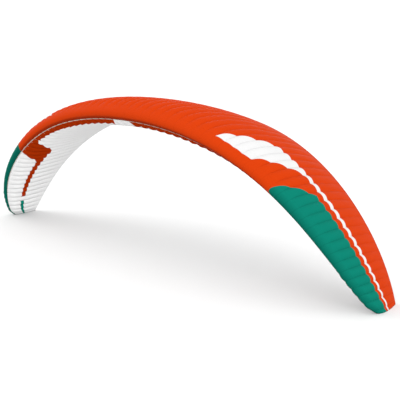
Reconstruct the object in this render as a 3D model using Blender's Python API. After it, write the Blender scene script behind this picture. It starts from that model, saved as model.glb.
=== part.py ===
# Paraglider wing, inflated and standing on its two closed tips.
# Metres, +Z up, X along the span, nose towards -Y, origin on the floor midway between the tips.
#
# The wing is a hollow cloth shell. Upper and lower skins are joined by upright ribs, and air
# enters through a row of mouths under the nose. Each skin bulges outwards between two ribs.
# Stations along the span are counted in ribs: 0 is the centre rib and 33 is a tip. Stations
# around a section are the fraction of the chord: positive on the upper skin, negative on the
# lower skin, 0 at the nose and 1 or -1 at the trailing edge.

import functools
import math

import bmesh
import bpy

# Planform, measured on the flat cloth
HALF_SPAN = 6.25                 # from the centre rib to a tip, along the arc
CELLS = 33                       # cells on each side
TIP = 33.5                       # a closing half cell runs from the last full cell to here
CELL_TAPER = 0.378               # how much narrower the last cell is than the first
ROOT_CHORD = 2.48
CHORD_LAW = ((2, -0.714), (4, 0.308), (8, -0.283))    # power of the span fraction, share of chord
SWEEP_LAW = ((2, 0.529), (4, 0.020), (8, 0.440))      # power of the span fraction, metres aft
TIP_ROUNDING = 0.08              # the nose turns back this far over the last cells

# The arc that the wing hangs in, and its attitude
ARC_LAW = ((1, 0.725), (2, 0.929), (3, -0.314), (5, -0.432), (7, 0.218))  # power, radians
NOSE_UP = math.radians(2.0)
LEVEL_TIP_FROM = 32.0            # the tip is cut level, and the slant starts at this rib

# Section
THICKNESS = 0.216                # of the chord, if both halves were alike
LOWER_SHARE = 0.85               # the lower half is flatter by this
TAIL_HALF = 0.0024               # half thickness left at the trailing edge
BULGE = {1: 0.17, -1: 0.22}      # height of a cell's bulge above and below, of the cell's width
BULGE_FROM = {1: 0.0, -1: 0.034}     # it starts here, of the chord
BULGE_FULL = {1: 0.12, -1: 0.085}    # and is whole from here
CLOSED_BULGE = 0.07              # bulge of the nose where the mouths are shut
SHEET = 0.002                    # cloth, as a solid

# Fit between the pieces
SEAM = 0.0008                    # gap between neighbouring panels
RIB_INSET = 0.0027               # rib edge under the skin's outer face
SEAM_RIB_INSET = 0.0070          # the same where two kinds of panel meet over a rib
CAP_GAP = 0.0005                 # tip cap below the skins' ends
RIB_TAIL = 0.85                  # a rib ends this far along the last strip of faces

# Mouths
LIP = 0.028                      # front lip, where the upper skin ends under the nose
MOUTH_REAR = 0.046               # front edge of the lower skin
LIP_CLOSED = 0.045               # lip where the mouth has closed
MOUTH_NARROWS = 26.0             # the mouths get narrower from this rib
MOUTH_CLOSED = 29.0              # and are shut beyond this one

# Colour blocks, as fractions of the chord
NOSE_SEAM = 0.058
STRIPE_FRONT = 0.4175
STRIPE_REAR = 0.4745
GREEN_REAR = 0.33
BAND_REAR = 0.115
BAND_SCALLOP = 0.024             # the band is this much shallower between two ribs
UNDER_STRIPE_FRONT = 0.328
UNDER_STRIPE_REAR = 0.419
UNDER_STRIPE_DRIFT = 0.036       # how much further back the stripe is at the tip
BAND_MIDDLE = 1.0                # the band is white out to here, in ribs

STEP = 0.5                       # two strips of faces in each cell
SIDE_NAME = {1: "right", -1: "left"}
COLOURS = {"orange": (0.78, 0.075, 0.012), "white": (0.90, 0.90, 0.90), "green": (0.005, 0.225, 0.155)}


def polynomial(law, x):
    return sum(value * x ** power for power, value in law)


def broken_line(*corners):
    """A function that runs straight from one (rib, chord fraction) corner to the next."""
    def value(rib):
        if rib <= corners[0][0]:
            return corners[0][1]
        for (r0, v0), (r1, v1) in zip(corners, corners[1:]):
            if rib <= r1:
                return v0 + (v1 - v0) * (rib - r0) / (r1 - r0)
        return corners[-1][1]
    return value


def span_fraction(rib):
    t = rib / CELLS
    return (t - CELL_TAPER * t ** 3 / 3) / (1 - CELL_TAPER / 3)


def chord(rib):
    return ROOT_CHORD * (1 + polynomial(CHORD_LAW, span_fraction(rib)))


def cell_width(rib):
    lower, upper = math.floor(rib), math.floor(rib) + 1
    return HALF_SPAN * (span_fraction(upper) - span_fraction(lower))


@functools.lru_cache(maxsize=None)
def arc_point(rib):
    """Sideways place, height and slope of the arc at a rib, by Simpson's rule along the cloth."""
    steps = 48
    x = z = 0.0
    for i in range(steps + 1):
        t = rib / CELLS * i / steps
        weight = 1 if i in (0, steps) else 4 if i % 2 else 2
        pace = (1 - CELL_TAPER * t * t) / (1 - CELL_TAPER / 3) * HALF_SPAN
        angle = polynomial(ARC_LAW, t)
        x += weight * pace * math.cos(angle)
        z -= weight * pace * math.sin(angle)
    share = rib / CELLS / steps / 3
    return x * share, z * share, polynomial(ARC_LAW, rib / CELLS)


def half_thickness(u):
    return 5 * THICKNESS * (0.2969 * math.sqrt(u) - 0.126 * u - 0.3516 * u ** 2
                            + 0.2843 * u ** 3 - 0.1036 * u ** 4)


def root_of(v):
    """Signed square root: equal steps of it are short at the nose, where the section is round."""
    return math.copysign(math.sqrt(abs(v)), v)


def section_point(q, size):
    u = q * q
    half = half_thickness(u) * (LOWER_SHARE if q < 0 else 1.0)
    return size * u, math.copysign(size * half + TAIL_HALF * u, q)


def section_offset(q, size, outwards):
    y, z = section_point(q, size)
    d = 1e-4
    y1, z1 = section_point(min(q + d, 1), size)
    y0, z0 = section_point(max(q - d, -1), size)
    length = math.hypot(y1 - y0, z1 - z0)
    return y - outwards * (z1 - z0) / length, z + outwards * (y1 - y0) / length


def bulge(rib, v):
    """How far a cell swells past its ribs: most in its middle, nothing round an open nose."""
    if rib >= CELLS:
        return 0.0
    face = -1 if v < 0 else 1
    share = rib - math.floor(rib)
    rise = min(max((abs(v) - BULGE_FROM[face]) / (BULGE_FULL[face] - BULGE_FROM[face]), 0), 1)
    rise = rise * rise * (3 - 2 * rise)
    shut = min(max(rib - MOUTH_CLOSED + 1.5, 0), 1)
    height = BULGE[face] * rise * (1 - abs(v) ** 3) + CLOSED_BULGE * shut * (1 - rise)
    return height * cell_width(rib) * 4 * share * (1 - share)


def nose_turn(rib):
    return TIP_ROUNDING * max(0.0, (rib - LEVEL_TIP_FROM) / (TIP - LEVEL_TIP_FROM)) ** 2


def tilt(y, z):
    return (y * math.cos(NOSE_UP) + z * math.sin(NOSE_UP),
            z * math.cos(NOSE_UP) - y * math.sin(NOSE_UP))


def wing_point(rib, v, inset=0.0):
    """A point of the right half, inset below the skin's outer face, before it is set down."""
    size = chord(rib) - nose_turn(rib)
    nose_y = polynomial(SWEEP_LAW, span_fraction(rib)) + nose_turn(rib)
    centre_x, centre_z, slope = arc_point(rib)
    along, up = section_offset(root_of(v), size, bulge(rib, v) - inset)
    x = centre_x + up * math.sin(slope)
    y, z = tilt(nose_y + along, centre_z + up * math.cos(slope))
    slant = max(0.0, (rib - LEVEL_TIP_FROM) / (TIP - LEVEL_TIP_FROM))
    if slant > 0:
        _, level = tilt(nose_y + 0.4 * size, centre_z)
        out_y, out_z = tilt(0.0, -math.sin(slope))
        move = slant * (z - level) / -out_z
        x += move * math.cos(slope)
        y += move * out_y
        z += move * out_z
    return x, y, z


FLOOR = wing_point(TIP, 0.4)[2] - CAP_GAP - SHEET
MIDDLE = 0.5 * (wing_point(0.5, 0.0)[1] + wing_point(0.0, 1.0)[1])


def placed(point, side):
    x, y, z = point
    return side * x, y - MIDDLE, z - FLOOR


def lip(rib):
    return -broken_line((MOUTH_NARROWS, LIP), (MOUTH_CLOSED, LIP_CLOSED))(rib)


# Borders between the colour blocks. The slanting ones cross three cells, and a pointed end
# keeps a little width.
POINT = 0.012
patch_front = broken_line((14.5, NOSE_SEAM), (15, NOSE_SEAM + POINT), (18, 0.415), (25, STRIPE_FRONT))
patch_rear = broken_line((11, NOSE_SEAM + POINT), (14, 0.455), (14.5, STRIPE_REAR))
green_rear = broken_line((18.5, NOSE_SEAM), (19, 0.12), (20, 0.265), (20.5, GREEN_REAR))
block_rear = broken_line((15, BAND_REAR), (15.5, 0.10), (16, 0.175), (17, 0.335),
                         (18, UNDER_STRIPE_REAR), (31, UNDER_STRIPE_REAR),
                         (TIP, UNDER_STRIPE_REAR + UNDER_STRIPE_DRIFT))
block_front = broken_line((18, MOUTH_REAR), (18.5, MOUTH_REAR + POINT), (19, 0.105), (20, 0.26),
                          (21, UNDER_STRIPE_FRONT), (31, UNDER_STRIPE_FRONT),
                          (TIP, UNDER_STRIPE_FRONT + UNDER_STRIPE_DRIFT))


def band_rear(rib):
    share = rib - math.floor(rib)
    return BAND_REAR - BAND_SCALLOP * 4 * share * (1 - share)


def under_front_edge(rib):
    return band_rear(rib) if rib < 15 else block_rear(rib)


def at(value):
    return lambda rib: value


# Panels of one side: name, first rib, last rib, front edge, rear edge, strips of faces, colour.
UPPER_PANELS = (
    ("nose_orange", 0, 18.5, lip, at(NOSE_SEAM), 5, "orange"),
    ("nose_green", 18.5, TIP, lip, green_rear, 6, "green"),
    ("top_inner", 0, 11, at(NOSE_SEAM), at(1.0), 6, "orange"),
    ("patch_white", 11, 18, patch_front, patch_rear, 5, "white"),
    ("wedge_orange", 15, 18, at(NOSE_SEAM), patch_front, 3, "orange"),
    ("strip_orange", 18, TIP, green_rear, patch_front, 3, "orange"),
    ("stripe_white", 18, TIP, patch_front, at(STRIPE_REAR), 1, "white"),
    ("top_outer", 11, TIP, patch_rear, at(1.0), 4, "orange"),
)
LOWER_PANELS = (
    ("band_orange", BAND_MIDDLE, 15, at(MOUTH_REAR), band_rear, 1, "orange"),
    ("block_orange", 15, 21, block_front, block_rear, 4, "orange"),
    ("under_stripe_orange", 21, 29.5, block_front, block_rear, 1, "orange"),
    ("under_stripe_green", 29.5, TIP, block_front, block_rear, 1, "green"),
    ("under_inner", 0, 11, band_rear, at(1.0), 5, "white"),
    ("under_outer", 11, TIP, under_front_edge, at(1.0), 4, "white"),
    ("under_front", 18.5, TIP, at(MOUTH_REAR), block_front, 3, "white"),
)
RIBS = range(0, 27, 2)           # the ribs between these, and the outermost ones, are left out
SEAM_RIBS = (18,)                # two kinds of panel meet over this one


def stations(front, rear, strips, rib, face):
    """Chord stations across a panel at one rib, at equal steps round the nose; face is 1 or -1."""
    gap = 0.5 * SEAM / chord(rib)
    first = front + gap
    last = rear if rear == 1.0 else rear - gap
    q0, q1 = face * root_of(first), face * root_of(last)
    roots = [q0 + (q1 - q0) * j / strips for j in range(strips + 1)]
    return [math.copysign(q * q, q) for q in roots]


def columns(first, last):
    """Ribs and mid-cells of a panel, its ends drawn in by half a seam."""
    count = round((last - first) / STEP)
    ribs = [first + STEP * i for i in range(count + 1)]
    ribs[0] = first + 0.5 * SEAM / cell_width(first)
    if last < TIP:
        ribs[-1] = last - 0.5 * SEAM / cell_width(last - STEP)
    return ribs


def add_object(name, mesh_data, colour):
    mesh = bpy.data.meshes.new(name)
    mesh_data.to_mesh(mesh)
    mesh_data.free()
    mesh.materials.append(cloth_material(colour))
    shape = bpy.data.objects.new(name, mesh)
    bpy.context.scene.collection.objects.link(shape)
    return shape


def cloth_material(colour):
    name = "cloth_" + colour
    material = bpy.data.materials.get(name)
    if material is None:
        material = bpy.data.materials.new(name)
        material.use_nodes = True
        shader = material.node_tree.nodes["Principled BSDF"]
        shader.inputs["Base Color"].default_value = (*COLOURS[colour], 1)
        shader.inputs["Roughness"].default_value = 0.55
        shader.inputs["Metallic"].default_value = 0.0
    return material


def sheet(name, outer, inner, colour):
    """A closed sheet between two grids of points, given as rows of equal length."""
    form = bmesh.new()
    faces_of = []
    for grid in (outer, inner):
        faces_of.append([[form.verts.new(point) for point in row] for row in grid])
    top, bottom = faces_of
    rows, width = len(top), len(top[0])
    for i in range(rows - 1):
        for j in range(width - 1):
            form.faces.new((top[i][j], top[i + 1][j], top[i + 1][j + 1], top[i][j + 1]))
            form.faces.new((bottom[i][j], bottom[i][j + 1], bottom[i + 1][j + 1], bottom[i + 1][j]))
    for i in range(rows - 1):
        for j in (0, width - 1):
            form.faces.new((top[i][j], bottom[i][j], bottom[i + 1][j], top[i + 1][j]))
    for j in range(width - 1):
        for i in (0, rows - 1):
            form.faces.new((top[i][j], bottom[i][j], bottom[i][j + 1], top[i][j + 1]))
    bmesh.ops.recalc_face_normals(form, faces=form.faces)
    return add_object(name, form, colour)


def plate(name, outline, move, colour):
    """A flat plate: an outline of points, and the same outline moved by a vector."""
    form = bmesh.new()
    near = [form.verts.new(point) for point in outline]
    far = [form.verts.new([a + b for a, b in zip(point, move)]) for point in outline]
    form.faces.new(near)
    form.faces.new(far[::-1])
    for i in range(len(near)):
        j = (i + 1) % len(near)
        form.faces.new((near[i], far[i], far[j], near[j]))
    bmesh.ops.recalc_face_normals(form, faces=form.faces)
    return add_object(name, form, colour)


def make_panel(name, first, last, front, rear, strips, colour, face, side):
    grids = []
    for inset in (0.0, SHEET):
        grids.append([[placed(wing_point(rib, v, inset), side)
                       for v in stations(front(rib), rear(rib), strips, rib, face)]
                      for rib in columns(first, last)])
    return sheet(name, *grids, colour)


def make_middle_band():
    """The white panel behind the middle mouths, which crosses the centre rib."""
    half = BAND_MIDDLE - 0.5 * SEAM / cell_width(1)
    ribs = [-half, -0.5, 0.0, 0.5, half]
    grids = []
    for inset in (0.0, SHEET):
        grids.append([[placed(wing_point(abs(rib), v, inset), math.copysign(1, rib))
                       for v in stations(MOUTH_REAR, band_rear(abs(rib)), 1, abs(rib), -1)] for rib in ribs])
    return sheet("band_white_middle", *grids, "white")


def section_stations(rib, panels, face):
    """Every station that the panels over one rib use, from the nose to the tail."""
    found = []
    for name, first, last, front, rear, strips, colour in panels:
        if first <= rib < last or rib == last == TIP:
            found += stations(front(rib), rear(rib), strips, rib, face)
    found.sort(key=abs if face < 0 else None)
    kept = []
    for v in found:
        if not kept or abs(v - kept[-1]) > 2 * SEAM / chord(rib):
            kept.append(v)
    return kept


def outline_at(rib, inset):
    """A closed outline of the section: from the tail over the top to the nose and back below."""
    upper = [wing_point(rib, v, inset) for v in section_stations(rib, UPPER_PANELS, 1)]
    lower = [wing_point(rib, v, inset) for v in section_stations(rib, LOWER_PANELS, -1)]
    return upper, lower


def make_rib(rib, side):
    upper, lower = outline_at(rib, SEAM_RIB_INSET if rib in SEAM_RIBS else RIB_INSET)
    for line in (upper, lower):
        line[-1] = tuple(a + (b - a) * RIB_TAIL for a, b in zip(line[-2], line[-1]))
    slope = arc_point(rib)[2]
    across = (math.cos(slope), *tilt(0.0, -math.sin(slope)))
    outline = [placed([a - 0.5 * SHEET * b for a, b in zip(point, across)], side)
               for point in upper[::-1] + lower]
    move = [SHEET * side * across[0], SHEET * across[1], SHEET * across[2]]
    name = "rib_middle" if rib == 0 else f"rib_{SIDE_NAME[side]}_{rib:02d}"
    return plate(name, outline, move, "white")


def make_tip_cap(side):
    """The tip's closing rib, level and flat on the floor."""
    upper, lower = outline_at(TIP, 0.0)
    outline = [placed(point, side)[:2] + (0.0,) for point in upper[::-1] + lower]
    return plate(f"tip_cap_{SIDE_NAME[side]}", outline, (0.0, 0.0, SHEET), "green")


def build_wing():
    for shape in list(bpy.data.objects):
        bpy.data.objects.remove(shape, do_unlink=True)
    for side in (1, -1):
        for face, panels in ((1, UPPER_PANELS), (-1, LOWER_PANELS)):
            for name, *sizes in panels:
                make_panel(f"{name}_{SIDE_NAME[side]}", *sizes, face, side)
        for rib in RIBS:
            if rib or side == 1:
                make_rib(rib, side)
        make_tip_cap(side)
    make_middle_band()


build_wing()
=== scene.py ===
import math

import bmesh
import bpy
import numpy as np
from mathutils import Matrix, Vector


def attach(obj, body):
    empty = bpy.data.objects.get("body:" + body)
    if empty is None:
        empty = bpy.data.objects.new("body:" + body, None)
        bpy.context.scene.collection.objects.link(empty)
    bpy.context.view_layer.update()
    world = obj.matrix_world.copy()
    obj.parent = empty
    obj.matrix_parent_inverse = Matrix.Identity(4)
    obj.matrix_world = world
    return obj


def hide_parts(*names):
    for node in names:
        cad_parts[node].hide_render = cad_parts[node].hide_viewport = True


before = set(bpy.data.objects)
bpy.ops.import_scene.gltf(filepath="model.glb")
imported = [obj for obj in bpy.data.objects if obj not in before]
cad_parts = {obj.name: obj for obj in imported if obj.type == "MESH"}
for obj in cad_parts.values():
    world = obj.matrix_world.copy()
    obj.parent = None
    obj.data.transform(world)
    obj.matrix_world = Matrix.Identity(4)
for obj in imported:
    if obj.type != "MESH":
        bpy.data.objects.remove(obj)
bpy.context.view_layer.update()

# Paraglider wing, inflated, standing on its two level tips. X is the span, the nose faces -Y.
# Along the span a place is counted in ribs, 0 in the middle and 33 at a tip. Round a section it
# is the fraction of the chord: above 0 on the upper skin, below 0 on the lower skin.
wing = {
    "halfSpan": 6.25,                   # from the middle to a tip, along the arc
    "cells": 33,                        # on each side
    "tip": 33.5,                        # a closing half cell ends here
    "cellTaper": 0.378,
    "rootChord": 2.48,
    "chordLaw": ((2, -0.714), (4, 0.308), (8, -0.283)),     # power of the span fraction, share
    "sweepLaw": ((2, 0.529), (4, 0.020), (8, 0.440)),       # power of the span fraction, metres
    "arcLaw": ((1, 0.725), (2, 0.929), (3, -0.314), (5, -0.432), (7, 0.218)),   # power, radians
    "arcEnd": 1.02,                     # the arc is worked out to just past a tip
    "arcSteps": 6800,
    "noseUp": math.radians(2.0),
    "levelTipFrom": 32.0,
    "levelAt": 0.4,                     # of the chord: this line gives a tip its height
    "tipRounding": 0.08,
    "thickness": 0.216,
    "tailHalf": 0.0024,
    "lowerShare": 0.85,                 # the lower half is this much flatter
    "bulgeAbove": ((24, 0.17), (31, 0.20)),                 # rib, share of a cell's width
    "bulgeBelow": 0.22,
    "bulgeFrom": (0.0, 0.034),          # where it starts, above and below
    "bulgeFull": 0.120,                 # where it is reached above
    "bulgeFullBelow": ((8, 0.095), (13, 0.170)),            # and below: rib, share of the chord
    "bulgeFade": 3,                     # power by which it dies out towards the tail
    "closedBulge": 0.08,
    "shutFrom": 27.5,
    "capThickness": 0.002,
    "capGap": 0.0005,
}
tiny = 1e-6


def polynomial(law, x):
    return sum(value * x ** power for power, value in law)


def spanFraction(rib):
    t = np.asarray(rib, float) / wing["cells"]
    return (t - wing["cellTaper"] * t ** 3 / 3) / (1 - wing["cellTaper"] / 3)


def chordAt(rib):
    return wing["rootChord"] * (1 + polynomial(wing["chordLaw"], spanFraction(rib))) - noseTurn(rib)


# How far the nose turns back at a tip.
def noseTurn(rib):
    return wing["tipRounding"] * tipShare(rib) ** 2


def tipShare(rib):
    return np.clip((rib - wing["levelTipFrom"]) / (wing["tip"] - wing["levelTipFrom"]), 0, 1)


def cellWidth(rib):
    lower = np.floor(rib)
    return wing["halfSpan"] * (spanFraction(lower + 1) - spanFraction(lower))


arcT = np.linspace(0, wing["arcEnd"], wing["arcSteps"] + 1)
arcPace = (1 - wing["cellTaper"] * arcT ** 2) / (1 - wing["cellTaper"] / 3) * wing["halfSpan"]
arcAngle = polynomial(wing["arcLaw"], arcT)


def summed(values):
    steps = 0.5 * (values[1:] + values[:-1]) * np.diff(arcT)
    return np.concatenate([[0.0], np.cumsum(steps)])


arcX = summed(arcPace * np.cos(arcAngle))
arcZ = -summed(arcPace * np.sin(arcAngle))


# The usual four-digit section formula, with a closed tail.
def halfThickness(u):
    return 5 * wing["thickness"] * (0.2969 * np.sqrt(u) - 0.126 * u - 0.3516 * u ** 2
                                    + 0.2843 * u ** 3 - 0.1036 * u ** 4)


def rootOf(v):
    return np.copysign(np.sqrt(np.abs(v)), v)


# The value of a broken line at a rib, from its corners as (rib, value).
def cornersAt(corners, rib):
    return np.interp(rib, [c[0] for c in corners], [c[1] for c in corners])


# A place round the section, along the chord and up. q is the signed root of the fraction.
def sectionPoint(q, size):
    u = q * q
    half = halfThickness(u) * np.where(q < 0, wing["lowerShare"], 1.0)
    return size * u, np.copysign(size * half + wing["tailHalf"] * u, q)


# How far a cell swells past its ribs: most in its middle, nothing round an open nose.
def bulgeAt(rib, v):
    share = rib - np.floor(rib)
    start = np.where(v < 0, wing["bulgeFrom"][1], wing["bulgeFrom"][0])
    full = np.where(v < 0, cornersAt(wing["bulgeFullBelow"], rib), wing["bulgeFull"])
    rise = np.clip((np.abs(v) - start) / (full - start), 0, 1)
    rise = rise * rise * (3 - 2 * rise)
    shut = np.clip(rib - wing["shutFrom"], 0, 1)
    most = np.where(v < 0, wing["bulgeBelow"], cornersAt(wing["bulgeAbove"], rib))
    height = most * rise * (1 - np.abs(v) ** wing["bulgeFade"]) + wing["closedBulge"] * shut * (1 - rise)
    return np.where(rib < wing["cells"], height * cellWidth(rib) * 4 * share * (1 - share), 0.0)


def tilt(y, z):
    c, s = math.cos(wing["noseUp"]), math.sin(wing["noseUp"])
    return y * c + z * s, z * c - y * s


# A place on one half of the wing, before the whole wing is set on the floor.
def rawPoint(rib, v, outwards):
    size = chordAt(rib)
    q = rootOf(v)
    nudge = 1e-4                        # either side of the place, to find its direction
    y0, z0 = sectionPoint(np.maximum(q - nudge, -1), size)
    y1, z1 = sectionPoint(np.minimum(q + nudge, 1), size)
    length = np.hypot(y1 - y0, z1 - z0)
    out = bulgeAt(rib, v) + outwards
    along, up = sectionPoint(q, size)
    along, up = along - out * (z1 - z0) / length, up + out * (y1 - y0) / length
    t = rib / wing["cells"]
    slope = np.interp(t, arcT, arcAngle)
    centreX, centreZ = np.interp(t, arcT, arcX), np.interp(t, arcT, arcZ)
    noseY = polynomial(wing["sweepLaw"], spanFraction(rib)) + noseTurn(rib)
    x = centreX + up * np.sin(slope)
    y, z = tilt(noseY + along, centreZ + up * np.cos(slope))
    level = tilt(noseY + wing["levelAt"] * size, centreZ)[1]
    outY, outZ = tilt(0.0, -np.sin(slope))
    leastFall = 0.05                    # keeps the division safe in the middle, where nothing moves
    move = tipShare(rib) * (z - level) / -np.minimum(outZ, -leastFall)
    return x + move * np.cos(slope), y + move * outY, z + move * outZ


border = {                              # corners as (rib, fraction of the chord)
    "lip": ((9, 0.030), (14, 0.034), (26, 0.034), (29, 0.042)),
    "mouthRear": ((9, 0.040), (14, 0.045), (18, 0.045), (20, 0.043)),
    "rearTuck": ((9, 0.0), (12, 0.007), (26, 0.007), (29, 0.0)),    # rear edge set in, in metres
    "tuckFade": 2.5,                    # it fades out over this part of the band: 1 / 2.5
    "mouthPinch": 0.0035,               # the lips come this much nearer at each rib
    "noseSeam": 0.058,
    "bandRear": 0.123,
    "bandScallop": ((8, 0.026), (13, 0.034)),
    "scallopLean": 0.8,                 # below 1, a scallop is deepest before its middle
    "patchFront": ((14.5, 0.058), (14.95, 0.064), (18, 0.415), (33.5, 0.4175)),
    "patchRear": ((11, 0.058), (14, 0.455), (14.5, 0.474), (33.5, 0.4745)),
    "greenFront": ((18.5, -0.050), (18.4, -0.015), (18.1, 0.0), (18.25, 0.025), (18.55, 0.070),
                   (19, 0.135)),
    "greenRear": ((19, 0.135), (20, 0.275), (20.5, 0.33), (33.5, 0.33)),
    "blockRear": ((15, 0.088), (15.6, 0.115), (16, 0.185), (17, 0.335), (17.9, 0.424),
                  (18.6, 0.416), (31, 0.419), (33.5, 0.455)),
    "blockFront": ((18.6, 0.043), (19, 0.105), (20, 0.27), (20.8, 0.335), (21.2, 0.328),
                   (31, 0.330), (33.5, 0.370)),
    "middle": ((1.05, 0.040), (1.4, 0.092)),
    "stripeStops": (29, 30),            # one bare white cell between its orange and its green
}


def brokenLine(name, rib):
    return cornersAt(border[name], rib)


def bandRear(rib):
    share = (rib - np.floor(rib)) ** border["scallopLean"]
    return border["bandRear"] - brokenLine("bandScallop", rib) * 4 * share * (1 - share)


tipZ = float(rawPoint(np.array(wing["tip"]), np.array(wing["levelAt"]), 0.0)[2])
floorZ = tipZ - wing["capGap"] - wing["capThickness"]
firstY = float(rawPoint(np.array(0.5), np.array(0.0), 0.0)[1])
tailY = float(rawPoint(np.array(0.0), np.array(1.0), 0.0)[1])
middleY = 0.5 * (firstY + tailY)


# Places in the frame for ribs from one tip, below zero, to the other.
def wingPoint(rib, v, outwards=0.0):
    rib, v = np.asarray(rib, float), np.asarray(v, float)
    x, y, z = rawPoint(np.abs(rib), v, outwards)
    return np.stack([np.where(rib < 0, -x, x), y - middleY, z - floorZ], -1)


def addSocket(group, name, way, kind):
    return group.interface.new_socket(name=name, in_out=way, socket_type=kind)


# Each term is a number or another node's output.
def mathNode(tree, operation, *terms, clamp=False):
    node = tree.nodes.new("ShaderNodeMath")
    node.operation = operation
    node.use_clamp = clamp
    for socket, term in zip(node.inputs, terms):
        if isinstance(term, (int, float)):
            socket.default_value = term
        else:
            tree.links.new(term, socket)
    return node.outputs[0]


def noiseNode(tree, uv, scale, detail, roughness=0.5):
    node = tree.nodes.new("ShaderNodeTexNoise")
    node.inputs["Scale"].default_value = scale
    node.inputs["Detail"].default_value = detail
    node.inputs["Roughness"].default_value = roughness
    tree.links.new(uv, node.inputs["Vector"])
    return node.outputs["Fac"]


# The two coordinates of a UV layer.
def uvNodes(tree, layer):
    uv = tree.nodes.new("ShaderNodeUVMap")
    uv.uv_map = layer
    split = tree.nodes.new("ShaderNodeSeparateXYZ")
    tree.links.new(uv.outputs["UV"], split.inputs[0])
    return uv.outputs["UV"], split.outputs["X"], split.outputs["Y"]


def mixNode(tree, factor, a, b):
    node = tree.nodes.new("ShaderNodeMix")
    node.data_type = "RGBA"
    for name, value in (("Factor", factor), ("A", a), ("B", b)):
        tree.links.new(value, node.inputs[name])
    return node.outputs["Result"]


weave = {                               # lengths in metres on the cloth
    "square": 0.005,                    # one ripstop square
    "gridLine": 0.09,                   # half a line, as a share of a square
    "slowNoise": (3.0, 4.0),            # scale and detail: slow change of tone over a panel
    "crinkleNoise": (38.0, 5.0, 0.6),   # scale, detail and roughness: thin coated cloth
    "pucker": 0.055,                    # from one pucker to the next along a seam
    "puckerReach": 0.018,
    "puckerSway": 9.0,
    "stitchIn": 0.004,                  # from the seam
    "stitchHalf": 0.0006,
    "stitchPace": 0.004,
    "stitchShare": 0.36,
    "ribShadeBand": 0.012,                     # painted shade beside a rib, this wide
    "crease": 0.006,
    "plainTone": 0.965,
    "slowTone": 0.07,
    "gridTone": 0.05,
    # How dark the painted shade in the creases along ribs and borders is.
    "creaseTone": 0.02,
    "belowFrom": -0.090,                # the painted shade round and below the nose is full from here
    "plainRoughness": 0.40,
    "crinkleRoughness": 0.12,
    "stitchRoughness": 0.3,
    "crinkleHeight": 0.0010,
    "puckerHeight": 0.0010,
    "gridHeight": 0.00008,
    "stitchHeight": 0.0004,
    "creaseHeight": 0.0003,
}


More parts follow.
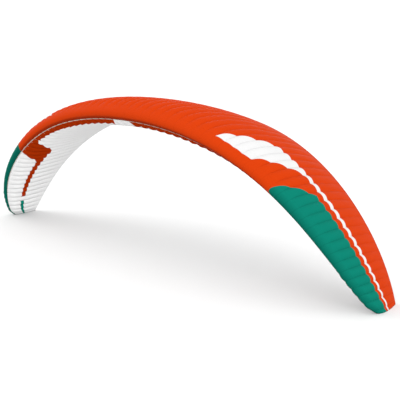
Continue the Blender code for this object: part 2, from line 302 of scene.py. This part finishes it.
# Ripstop squares, crinkles, seam puckers and stitching, for all the cloths, with painted shade beside the
# ribs, in the creases and round and below the nose.
def ripstopGroup():
    group = bpy.data.node_groups.new("ripstopCloth", "ShaderNodeTree")
    # Besides the cloth colour come the colour of the painted shade round and below the nose, the thread,
    # where that shade starts, and how much painted shade lies beside a rib.
    for name, kind in (("Colour", "NodeSocketColor"), ("Below", "NodeSocketColor"),
                       ("Thread", "NodeSocketColor"), ("Reach", "NodeSocketFloat"),
                       ("Seam", "NodeSocketFloat")):
        addSocket(group, name, "INPUT", kind)
    for name, kind in (("Colour", "NodeSocketColor"), ("Roughness", "NodeSocketFloat"),
                       ("Height", "NodeSocketFloat")):
        addSocket(group, name, "OUTPUT", kind)
    nodes, links = group.nodes, group.links
    given = nodes.new("NodeGroupInput")
    result = nodes.new("NodeGroupOutput")

    def node(operation, *terms, clamp=False):
        return mathNode(group, operation, *terms, clamp=clamp)

    def fade(distance, reach):                          # 1 at the line, 0 from the reach on
        return node("SUBTRACT", 1.0, node("DIVIDE", distance, reach), clamp=True)

    uv, across, along = uvNodes(group, "cloth")
    toRib, toBorder = uvNodes(group, "seams")[1:]

    lines = [fade(node("PINGPONG", node("DIVIDE", way, weave["square"]), 0.5), weave["gridLine"])
             for way in (across, along)]
    grid = node("MAXIMUM", *lines)
    slow = noiseNode(group, uv, *weave["slowNoise"])
    crinkle = noiseNode(group, uv, *weave["crinkleNoise"])

    near = node("POWER", math.e, node("DIVIDE", toRib, -weave["puckerReach"]))
    sway = node("MULTIPLY", slow, weave["puckerSway"])
    phase = node("ADD", node("MULTIPLY", along, 2 * math.pi / weave["pucker"]), sway)
    pucker = node("MULTIPLY", node("SINE", phase), near)

    rows = []
    for distance, run in ((toRib, along), (toBorder, across)):
        off = node("ABSOLUTE", node("SUBTRACT", distance, weave["stitchIn"]))
        row = node("LESS_THAN", off, weave["stitchHalf"])
        step = node("PINGPONG", node("DIVIDE", run, weave["stitchPace"]), 0.5)
        rows.append(node("MULTIPLY", row, node("LESS_THAN", step, weave["stitchShare"])))
    stitch = node("MAXIMUM", *rows)
    # A band of painted shade beside each rib.
    ribShadeBand = fade(toRib, weave["ribShadeBand"])
    # The creases along ribs and borders, used as a dent and also as painted shade.
    crease = node("MAXIMUM", fade(toRib, weave["crease"]), fade(toBorder, weave["crease"]))

    # The slow change of tone and the ripstop grid are the cloth's own; the creases and the bands beside
    # the ribs darken it as painted shade.
    tone = node("ADD", node("MULTIPLY", slow, weave["slowTone"]), weave["plainTone"])
    for mark, depth in ((grid, weave["gridTone"]), (crease, weave["creaseTone"]),
                        (ribShadeBand, given.outputs["Seam"])):
        tone = node("SUBTRACT", tone, node("MULTIPLY", mark, depth))
    under = nodes.new("ShaderNodeMapRange")             # painted shade round and below the nose
    links.new(given.outputs["Reach"], under.inputs["From Min"])
    under.inputs["From Max"].default_value = weave["belowFrom"]
    links.new(along, under.inputs["Value"])
    dyeWithNoseShade = mixNode(group, under.outputs["Result"], given.outputs["Colour"], given.outputs["Below"])
    shade = nodes.new("ShaderNodeVectorMath")
    shade.operation = "SCALE"
    links.new(dyeWithNoseShade, shade.inputs[0])
    links.new(tone, shade.inputs["Scale"])
    links.new(mixNode(group, stitch, shade.outputs[0], given.outputs["Thread"]), result.inputs["Colour"])

    rough = node("ADD", node("MULTIPLY", crinkle, weave["crinkleRoughness"]), weave["plainRoughness"])
    rough = node("ADD", rough, node("MULTIPLY", stitch, weave["stitchRoughness"]))
    links.new(rough, result.inputs["Roughness"])
    height = node("MULTIPLY", crinkle, weave["crinkleHeight"])
    for operation, mark, rise in (("ADD", pucker, "puckerHeight"), ("ADD", grid, "gridHeight"),
                                  ("ADD", stitch, "stitchHeight"), ("SUBTRACT", crease, "creaseHeight")):
        height = node(operation, height, node("MULTIPLY", mark, weave[rise]))
    links.new(height, result.inputs["Height"])
    return group


ripstop = ripstopGroup()
paintedDaylight = (1.0, 0.84, 0.70, 1)         # colour of a painted glow, standing in for daylight through the cloth


# gloss is the shine; the next three are painted light: a glow that stands in for daylight through the
# cloth, where the painted shade round and below the nose starts, and how much painted shade lies beside a
# rib.
def clothMaterial(name, colour, below, thread, gloss=0.0, paintedGlow=0.0, reach=-0.045, ribShadeDepth=0.0):
    material = bpy.data.materials.new(name)
    material.use_nodes = True
    tree = material.node_tree
    shader = tree.nodes["Principled BSDF"]
    cloth = tree.nodes.new("ShaderNodeGroup")
    cloth.node_tree = ripstop
    cloth.inputs["Colour"].default_value = (*colour, 1)
    cloth.inputs["Below"].default_value = (*below, 1)
    cloth.inputs["Thread"].default_value = (*thread, 1)
    cloth.inputs["Reach"].default_value = reach
    cloth.inputs["Seam"].default_value = ribShadeDepth
    bump = tree.nodes.new("ShaderNodeBump")
    bump.inputs["Strength"].default_value = 1.0
    bump.inputs["Distance"].default_value = 1.0
    tree.links.new(cloth.outputs["Colour"], shader.inputs["Base Color"])
    tree.links.new(cloth.outputs["Roughness"], shader.inputs["Roughness"])
    tree.links.new(cloth.outputs["Height"], bump.inputs["Height"])
    tree.links.new(bump.outputs["Normal"], shader.inputs["Normal"])
    shader.inputs["Specular IOR Level"].default_value = gloss
    # Painted glow: the cloth gives off light of its own, standing in for daylight through it.
    shader.inputs["Emission Color"].default_value = paintedDaylight
    shader.inputs["Emission Strength"].default_value = paintedGlow
    return material


# The second orange and the second green are the same cloths painted darker: painted shade round and below
# the nose.
orange, paintedNoseShadeOrange, orangeThread = (0.418, 0.0315, 0.0027), (0.235, 0.0165, 0.0010), (0.40, 0.030, 0.0026)
green, paintedNoseShadeGreen, greenThread = (0.0024, 0.135, 0.097), (0.0011, 0.076, 0.054), (0.0022, 0.125, 0.090)
# The under orange and its thread are the top orange painted darker: painted shade on the lower skin.
shadedUnderOrange, shadedUnderOrangeThread = (0.280, 0.0210, 0.0011), (0.16, 0.012, 0.001)
underGreen, underGreenThread = (0.004, 0.165, 0.120), (0.002, 0.09, 0.06)
# The top white is the same white cloth as below, painted darker to offset the stronger light from above.
dimmedTopWhite, white, grey = (0.51,) * 3, (0.66,) * 3, (0.5,) * 3
# How much painted shade lies beside each rib of the lower skin.
underRibShadeDepth = 0.24
cloths = {
    "topOrange": clothMaterial("cloth_orange_top", orange, paintedNoseShadeOrange, orangeThread,
                               gloss=0.005, ribShadeDepth=0.03),
    "white": clothMaterial("cloth_white_top", dimmedTopWhite, dimmedTopWhite, grey, gloss=0.005),
    "green": clothMaterial("cloth_green_top", green, paintedNoseShadeGreen, greenThread,
                           gloss=0.005, reach=0.14, ribShadeDepth=0.12),
    "shadedUnderOrange": clothMaterial("cloth_orange_under", shadedUnderOrange, shadedUnderOrange, shadedUnderOrangeThread,
                                 ribShadeDepth=underRibShadeDepth),
    "underGreen": clothMaterial("cloth_green_under", underGreen, underGreen, underGreenThread,
                                ribShadeDepth=underRibShadeDepth),
    "underWhite": clothMaterial("cloth_white_under", white, white, grey, ribShadeDepth=underRibShadeDepth),
    # The inside of the skins and the ribs carry a painted glow, standing in for daylight through the
    # cloth.
    "inside": clothMaterial("cloth_inside", white, white, grey, paintedGlow=0.15),
    "rib": clothMaterial("cloth_rib", white, white, grey, paintedGlow=0.15),
}

cellShares = (0, 0.05, 0.13, 0.24, 0.37, 0.5, 0.63, 0.76, 0.87, 0.95)    # finer beside a seam
closingColumns = [33, 33.17, 33.34, 33.5]


# Columns of a whole skin, from tip to tip.
def ribColumns():
    half = [cell + share for cell in range(wing["cells"]) for share in cellShares]
    half += closingColumns
    return np.array([-rib for rib in half[:0:-1]] + half, float)


# A flat grid in the (rib, chord fraction) plane, ready to be cut along the colour borders.
def flatPattern(columns, rows):
    pattern = bmesh.new()
    grid = [[pattern.verts.new((c, r, 0)) for r in rows] for c in columns]
    for left, right in zip(grid, grid[1:]):
        for j in range(len(rows) - 1):
            pattern.faces.new((left[j], right[j], right[j + 1], left[j + 1]))
    return pattern


# Cut the pattern along a border on both sides of the wing. sign is -1 for the lower skin.
def cutAlong(pattern, corners, sign=1):
    for (r0, v0), (r1, v1) in zip(corners, corners[1:]):
        for side in (1, -1):
            low, high = sorted((side * r0, side * r1))
            faces = [f for f in pattern.faces if low < f.calc_center_median().x < high]
            parts = list({e for f in faces for e in f.edges}) + list({v for f in faces for v in f.verts})
            start = Vector((side * r0, sign * v0, 0))
            step = Vector((side * (r1 - r0), sign * (v1 - v0), 0))
            bmesh.ops.bisect_plane(pattern, geom=faces + parts, dist=tiny, plane_co=start,
                                   plane_no=step.cross(Vector((0, 0, 1))).normalized())


# Metres along the chord from each place to the nearest border that lies at its rib.
def borderDistance(rib, v, lines):
    near = np.full(len(rib), 9.0)       # further than any border
    for name, first in lines:
        here = bandRear(rib) if name == "bandRear" else border[name]
        here = brokenLine(name, rib) if isinstance(here, tuple) else here
        near = np.where(rib >= first, np.minimum(near, np.abs(np.abs(v) - here) * chordAt(rib)), near)
    return near


# Metres along the cloth of a section, from the nose. face is 1 above and -1 below.
def arcLength(rib, v, face):
    steps = 200
    q = np.linspace(0, 1, steps + 1)
    y, z = sectionPoint(face * q, 1.0)
    run = np.concatenate([[0], np.cumsum(np.hypot(np.diff(y), np.diff(z)))])
    return np.interp(np.sqrt(np.abs(v)), q, run) * chordAt(rib) * np.sign(v)


# Wrap a flat pattern round the wing and give it the cloth's thickness.
def makeSkin(name, pattern, face, colourOf, slots, lines, thickness):
    pattern.verts.index_update()
    flat = np.array([vert.co[:] for vert in pattern.verts])
    rib, v, outwards = flat[:, 0], flat[:, 1], flat[:, 2]
    centres = np.array([f.calc_center_median()[:2] for f in pattern.faces])
    faces = [[vert.index for vert in f.verts][::face] for f in pattern.faces]
    pattern.free()
    mesh = bpy.data.meshes.new(name)
    mesh.from_pydata(wingPoint(rib, v, outwards).tolist(), [], faces)
    mesh.polygons.foreach_set("material_index", colourOf(np.abs(centres[:, 0]), centres[:, 1]))
    mesh.polygons.foreach_set("use_smooth", np.ones(len(faces), bool))
    away = np.abs(rib)
    share = away - np.floor(away)
    toRib = np.minimum(share, np.where(away > wing["cells"], 1, 1 - share)) * cellWidth(away)
    corner = np.empty(len(mesh.loops), np.int32)
    mesh.loops.foreach_get("vertex_index", corner)
    cloth = np.stack([spanFraction(rib) * wing["halfSpan"], arcLength(away, v, face)], -1)
    seams = np.stack([toRib, borderDistance(away, v, lines)], -1)
    for layer, values in (("cloth", cloth), ("seams", seams)):
        mesh.uv_layers.new(name=layer).data.foreach_set("uv", values[corner].ravel())
    for slot in slots:
        mesh.materials.append(cloths[slot])
    skin = bpy.data.objects.new(name, mesh)
    bpy.context.scene.collection.objects.link(skin)
    solid = skin.modifiers.new("cloth", "SOLIDIFY")
    solid.thickness = thickness
    solid.offset = -1
    solid.material_offset = len(slots) - 1
    solid.material_offset_rim = 0
    return skin


topSkin = {
    "thickness": 0.0012,
    "rows": 66,                         # strips of faces from the lip over the nose to the tail
    "noseRows": 17,                     # of them, up to the nose seam
    "lipRow": 0.04,                     # where the first row lies before it follows the lip
    "flat": (2.79, 14.4),
    "area": 29.5,
}


# For each face 0 orange, 1 white, 2 green.
def topColours(rib, v):
    colour = np.zeros(len(rib), np.int32)
    patch = (v > brokenLine("patchFront", rib)) & (v < brokenLine("patchRear", rib))
    colour[patch & (v > border["noseSeam"]) & (rib > border["patchRear"][0][0])] = 1
    front = border["greenFront"]
    outer = rib > np.interp(v, [c[1] for c in front], [c[0] for c in front])
    colour[outer & (v < brokenLine("greenRear", rib))] = 2
    return colour


# 1 at a rib and 0 in the middle of a cell.
def pinch(rib):
    share = rib - np.floor(rib)
    return (1 - 4 * share * (1 - share)) ** 2


def makeTopSkin():
    lastLip = border["lip"][-1][1]
    lipRoot, seamRoot = math.sqrt(topSkin["lipRow"]), math.sqrt(border["noseSeam"])
    noseRoots = np.linspace(-lipRoot, seamRoot, topSkin["noseRows"] + 1)
    rearRoots = np.linspace(seamRoot, 1, topSkin["rows"] - topSkin["noseRows"] + 1)
    roots = np.concatenate([noseRoots[:-1], rearRoots])
    pattern = flatPattern(ribColumns(), np.sign(roots) * roots ** 2)
    for name in ("patchFront", "patchRear", "greenFront", "greenRear"):
        cutAlong(pattern, border[name])
    for vert in pattern.verts:          # the lip is nearer the mouth's rear edge at each rib
        if vert.co.y < 0:
            edge = float(brokenLine("lip", abs(vert.co.x)))
            edge = min(edge + border["mouthPinch"] * float(pinch(abs(vert.co.x))), lastLip)
            vert.co.y *= edge / topSkin["lipRow"]
    lines = (("noseSeam", 0), ("patchFront", 15), ("patchRear", 11), ("greenRear", 19))     # first ribs
    return makeSkin("top_skin", pattern, 1, topColours,
                    ("topOrange", "white", "green", "inside"), lines, topSkin["thickness"])


underSkin = {
    "thickness": 0.0012,
    "rows": 52,                         # strips of faces from the mouths to the tail
    "bandRows": 5,                      # of them, up to the band's rear edge
    "flat": (2.43, 13.9),
    "area": 25.1,
}


# For each face 0 orange, 1 white, 2 green.
def underColours(rib, v):
    v = np.abs(v)
    rear = np.where(rib < border["blockRear"][0][0], bandRear(rib), brokenLine("blockRear", rib))
    coloured = (v < rear) & ((v > brokenLine("blockFront", rib)) | (rib < border["blockFront"][0][0]))
    middle = border["middle"]
    coloured &= rib > np.interp(v, [c[1] for c in middle], [c[0] for c in middle])
    first, second = border["stripeStops"]
    colour = np.ones(len(rib), np.int32)
    colour[coloured & (rib < first)] = 0
    colour[coloured & (rib > second)] = 2
    return colour


def makeUnderSkin():
    start, band = border["mouthRear"][-1][1], border["bandRear"]
    bandRoots = np.linspace(math.sqrt(start), math.sqrt(band), underSkin["bandRows"] + 1)
    rearRoots = np.linspace(math.sqrt(band), 1, underSkin["rows"] - underSkin["bandRows"] + 1)
    roots = np.concatenate([bandRoots[:-1], rearRoots])
    pattern = flatPattern(ribColumns(), -roots ** 2)
    for vert in pattern.verts:          # rows up to the band's edge follow its scallops
        away, v = abs(vert.co.x), -vert.co.y
        if v <= band + tiny:
            front = float(brokenLine("mouthRear", away)) - border["mouthPinch"] * float(pinch(away))
            rear = float(bandRear(away))
            share = (v - start) / (band - start)
            vert.co.y = -(front + share * (rear - front))
            vert.co.z = -float(brokenLine("rearTuck", away)) * max(1 - border["tuckFade"] * share, 0)
    for name in ("blockRear", "blockFront", "middle"):
        cutAlong(pattern, border[name], -1)
    lines = (("bandRear", 0), ("blockRear", 15), ("blockFront", 18.6))      # first ribs
    return makeSkin("under_skin", pattern, -1, underColours,
                    ("shadedUnderOrange", "underWhite", "underGreen", "inside"), lines, underSkin["thickness"])


upper = makeTopSkin()
print("top skin", len(upper.data.polygons))
under = makeUnderSkin()
print("under skin", len(under.data.polygons))

ribs = {
    "inset": 0.0022,                    # below the skins' outer face
    "tail": 0.985,
    "thickness": 0.0006,
    "points": 34,                       # from the nose to the tail, above and below
}
caps = {
    "inset": 0.0002,
    "points": 48,
}
awayFromSeams = (0.5, 0.5)


# Places round a whole section, closer at the nose, from the tail below to the tail above.
def sectionStations(tail, points):
    roots = np.linspace(-math.sqrt(tail), math.sqrt(tail), 2 * points + 1)
    return np.sign(roots) * roots ** 2


# A closed flat plate: an outline, and the same outline moved.
def addPlate(form, outline, move):
    cloth = form.loops.layers.uv.get("cloth") or form.loops.layers.uv.new("cloth")
    seams = form.loops.layers.uv.get("seams") or form.loops.layers.uv.new("seams")
    near = [form.verts.new(point) for point in outline]
    far = [form.verts.new(point + move) for point in outline]
    made = [form.faces.new(near), form.faces.new(far[::-1])]
    for i in range(len(near)):
        j = (i + 1) % len(near)
        made.append(form.faces.new((near[j], near[i], far[i], far[j])))
    for face in made:
        for loop in face.loops:
            loop[cloth].uv = (loop.vert.co.y, loop.vert.co.z + loop.vert.co.x)
            loop[seams].uv = awayFromSeams


def plateObject(name, form, material):
    bmesh.ops.recalc_face_normals(form, faces=form.faces)
    mesh = bpy.data.meshes.new(name)
    form.to_mesh(mesh)
    form.free()
    mesh.materials.append(cloths[material])
    piece = bpy.data.objects.new(name, mesh)
    bpy.context.scene.collection.objects.link(piece)
    return piece


# One upright rib between each two cells.
def makeRibs():
    form = bmesh.new()
    stations = sectionStations(ribs["tail"], ribs["points"])
    for number in range(-wing["cells"], wing["cells"] + 1):
        slope = float(np.interp(abs(number) / wing["cells"], arcT, arcAngle))
        side = 1 if number >= 0 else -1
        outY, outZ = tilt(0.0, -math.sin(slope))
        across = np.array([side * math.cos(slope), outY, outZ]) * ribs["thickness"]
        outline = wingPoint(np.full(len(stations), float(number)), stations, -ribs["inset"])
        addPlate(form, outline - across / 2, across)
    return plateObject("ribs", form, "rib")


# The closing ribs, level and flat on the floor.
def makeTipCaps():
    form = bmesh.new()
    stations = sectionStations(1, caps["points"])
    for tip in (-wing["tip"], wing["tip"]):
        outline = wingPoint(np.full(len(stations), tip), stations, -caps["inset"])
        outline[:, 2] = 0.0
        addPlate(form, outline, np.array([0, 0, wing["capThickness"] + wing["capGap"]]))
    return plateObject("tip_caps", form, "green")


ribPiece = makeRibs()
print("ribs", len(ribPiece.data.polygons))
capPiece = makeTipCaps()
print("tip caps", len(capPiece.data.polygons))

for piece in (upper, under, ribPiece, capPiece):
    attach(piece, "root")
nodes = sorted(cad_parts)
topNames = ("nose_", "top_", "patch_", "wedge_", "strip_", "stripe_")
underNames = ("band_", "block_", "under_")
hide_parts(*[n for n in nodes if n.startswith(topNames)])
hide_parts(*[n for n in nodes if n.startswith(underNames)])
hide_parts(*[n for n in nodes if n.startswith("rib_")])
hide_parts(*[n for n in nodes if n.startswith("tip_cap_")])
print("pieces placed", len(nodes), "solids replaced")

studio = {
    "floor": 400.0,
    "floorColour": (0.64, 0.64, 0.64),
    "floorRoughness": 0.9,
    "floorDrop": 0.0005,                # just below the tips
    "sky": 1.44,
    "lamps": (                          # name, strength, softness, lean and turn in degrees
        ("right", 0.14, 50, 42, 85),
        ("left", 0.34, 50, 60, -70),
        ("front", 0.55, 35, 80, 66),
    ),
}


def makeStudio():
    bpy.ops.object.select_all(action="DESELECT")
    bpy.ops.mesh.primitive_plane_add(size=studio["floor"])
    floor = bpy.context.active_object
    floor.name = "floor"
    floor.data.transform(Matrix.Translation((0, 0, -studio["floorDrop"])))
    material = bpy.data.materials.new("floor")
    material.use_nodes = True
    shader = material.node_tree.nodes["Principled BSDF"]
    shader.inputs["Base Color"].default_value = (*studio["floorColour"], 1)
    shader.inputs["Roughness"].default_value = studio["floorRoughness"]
    shader.inputs["Specular IOR Level"].default_value = 0.0
    floor.data.materials.append(material)
    world = bpy.data.worlds.new("studio")
    world.use_nodes = True
    background = world.node_tree.nodes["Background"]
    background.inputs["Color"].default_value = (1, 1, 1, 1)
    background.inputs["Strength"].default_value = studio["sky"]
    bpy.context.scene.world = world
    bpy.context.scene.view_settings.view_transform = "Standard"
    for name, strength, softness, lean, turn in studio["lamps"]:
        lamp = bpy.data.lights.new(name, "SUN")
        lamp.energy = strength * math.pi
        lamp.angle = math.radians(softness)
        holder = bpy.data.objects.new(name, lamp)
        holder.rotation_euler = (math.radians(lean), 0, math.radians(turn))
        bpy.context.scene.collection.objects.link(holder)


camera = {
    "place": (11.7393, -11.3162, 4.5981),
    "turn": 43.483,                     # degrees to the left of +Y
    "down": 12.119,
    "focal": 807.69 / 400,              # in picture widths
    "sensor": 36,
    "farthest": 1000,
}


def makeCamera():
    data = bpy.data.cameras.new("camera")
    data.sensor_width = camera["sensor"]
    data.lens = camera["focal"] * camera["sensor"]
    data.clip_end = camera["farthest"]
    view = bpy.data.objects.new("camera", data)
    view.location = camera["place"]
    view.rotation_euler = (math.radians(90 - camera["down"]), 0, math.radians(camera["turn"]))
    bpy.context.scene.collection.objects.link(view)
    bpy.context.scene.camera = view


makeStudio()
makeCamera()
print("studio and camera ready")
